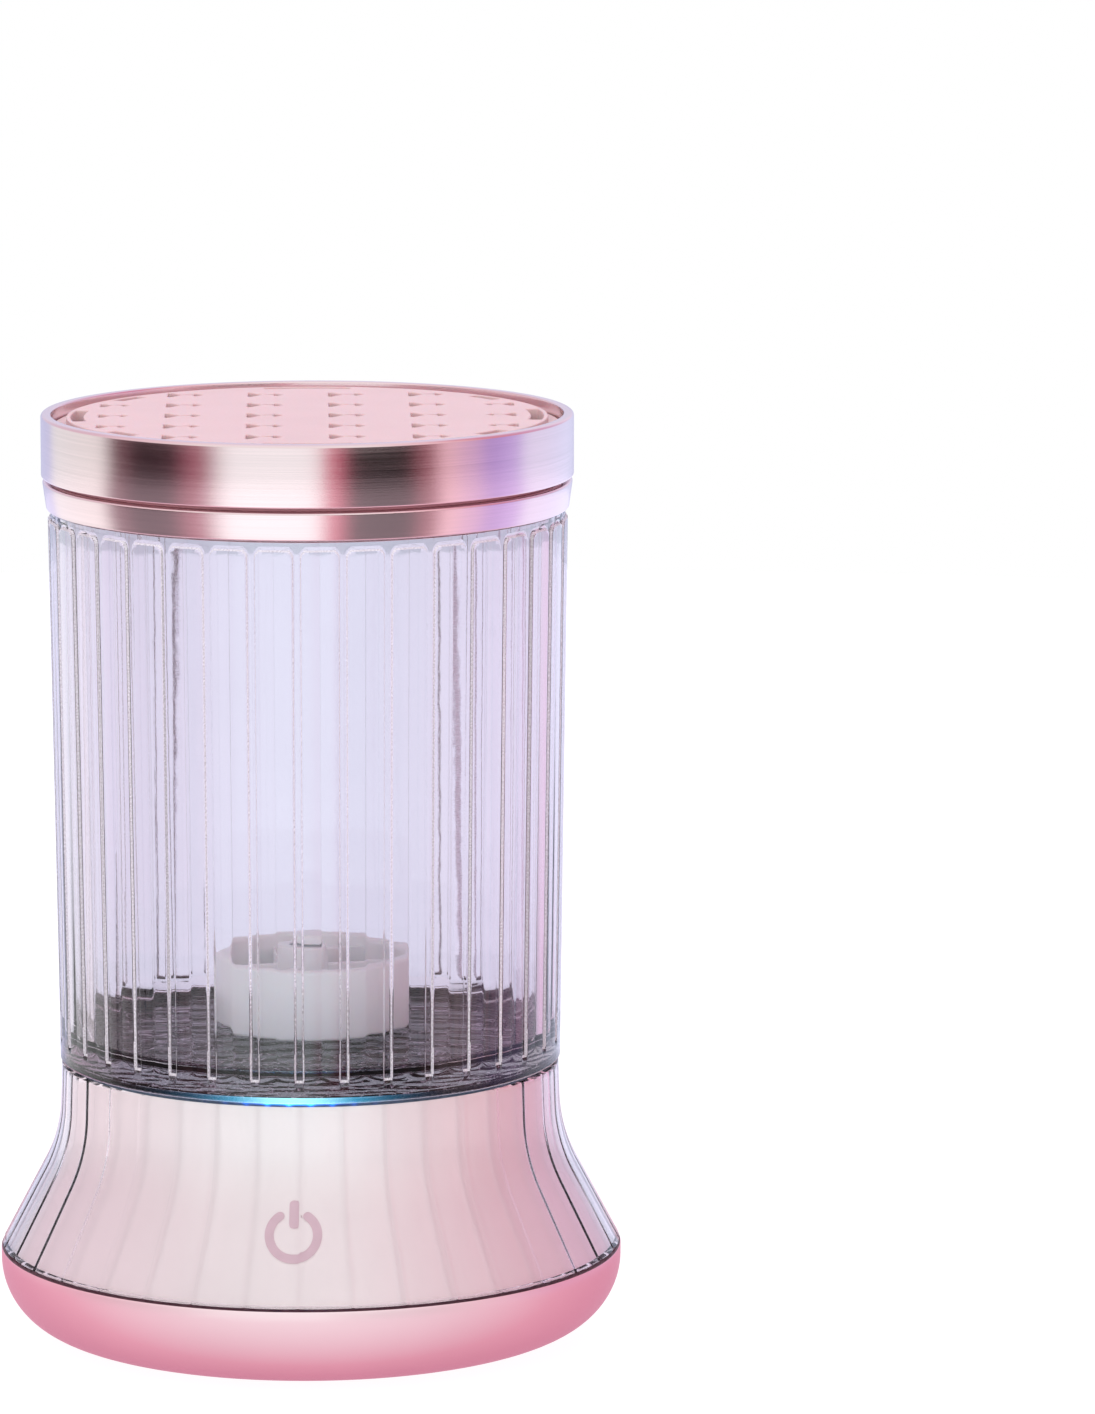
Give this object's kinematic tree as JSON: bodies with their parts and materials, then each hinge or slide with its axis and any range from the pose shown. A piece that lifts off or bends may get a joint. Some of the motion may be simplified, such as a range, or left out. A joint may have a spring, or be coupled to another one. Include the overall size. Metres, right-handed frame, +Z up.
{
  "type": "electric makeup brush cleaner",
  "caption": "Electric makeup brush cleaner: flared pink base with touch power symbol and light ring, clear fluted cup with magnetic agitator, metal-ringed lid with silicone brush holder.",
  "frame": {"origin": "under the middle of the feet, on the surface the cleaner stands on", "axes": "+Z up along the axis of the cup, front with the power symbol towards -Y, charging socket at +Y"},
  "size_m": [0.1274, 0.1274, 0.19],
  "materials": {
    "bowl_pink": "high gloss",
    "skirt_pink": "gloss",
    "clear_lavender": "clear moulded plastic with a faint lavender tint",
    "deck_dark": "gloss",
    "light_ring": "frosted light guide, lit blue-white",
    "icon_mauve": "printed",
    "rose_gold": "satin anodised",
    "silicone_pink": "matt silicone",
    "carrier_pink": "satin",
    "agitator_white": "satin",
    "bush_grey": "satin",
    "steel": "bright",
    "magnet": "nickel plated",
    "board_green": "solder mask",
    "chip_black": "moulded",
    "led_white": "phosphor",
    "copper_pad": "plain",
    "cell_foil": "foil",
    "inner_plastic": "moulded",
    "foot_rubber": "matt"
  },
  "bodies": {
    "base": {"bottom_bowl": "bowl_pink", "skirt_inner": "skirt_pink", "skirt_outer": "clear_lavender", "deck_plate": "deck_dark", "light_ring": "light_ring", "led_board": "board_green", "led_chips": "led_white", "control_board": "board_green", "control_chips": "chip_black", "touch_electrode": "copper_pad", "power_icon": "icon_mauve", "motor_can": "steel", "motor_bracket": "inner_plastic", "motor_screws": "steel", "battery_cell": "cell_foil", "battery_tray": "inner_plastic", "usb_c_port": "steel", "charge_board": "board_green", "housing_screws": "steel", "rubber_feet": "foot_rubber"},
    "rotor": {"motor_shaft": "steel", "magnet_holder": "inner_plastic", "drive_magnets": "magnet"},
    "cup": {"cup": "clear_lavender", "cup_collar": "rose_gold", "agitator_axle": "steel", "axle_cap": "agitator_white"},
    "agitator": {"agitator": "agitator_white", "agitator_magnets": "magnet", "magnet_cover": "agitator_white", "agitator_bush": "bush_grey"},
    "lid": {"lid_ring": "rose_gold", "lid_carrier": "carrier_pink", "lid_gasket": "silicone_pink"},
    "holder": {"brush_holder": "silicone_pink"}
  },
  "joints": [
    {"name": "cup_lift", "type": "slide", "parent": "base", "child": "cup", "axis": [0, 0, 1], "range_m": [0, 0.08]},
    {"name": "lid_lift", "type": "slide", "parent": "cup", "child": "lid", "axis": [0, 0, 1], "range_m": [0, 0.05]},
    {"name": "holder_lift", "type": "slide", "parent": "lid", "child": "holder", "axis": [0, 0, 1], "range_m": [0, 0.03]},
    {"name": "rotor_spin", "type": "hinge", "parent": "base", "child": "rotor", "pos_m": [0, 0, 0.048], "axis": [0, 0, 1], "continuous": true},
    {"name": "agitator_spin", "type": "hinge", "parent": "cup", "child": "agitator", "pos_m": [0, 0, 0.065], "axis": [0, 0, 1], "continuous": true}
  ],
  "couplings": [
    {"joint": "rotor_spin", "follows": "agitator_spin", "ratio": 1}
  ]
}
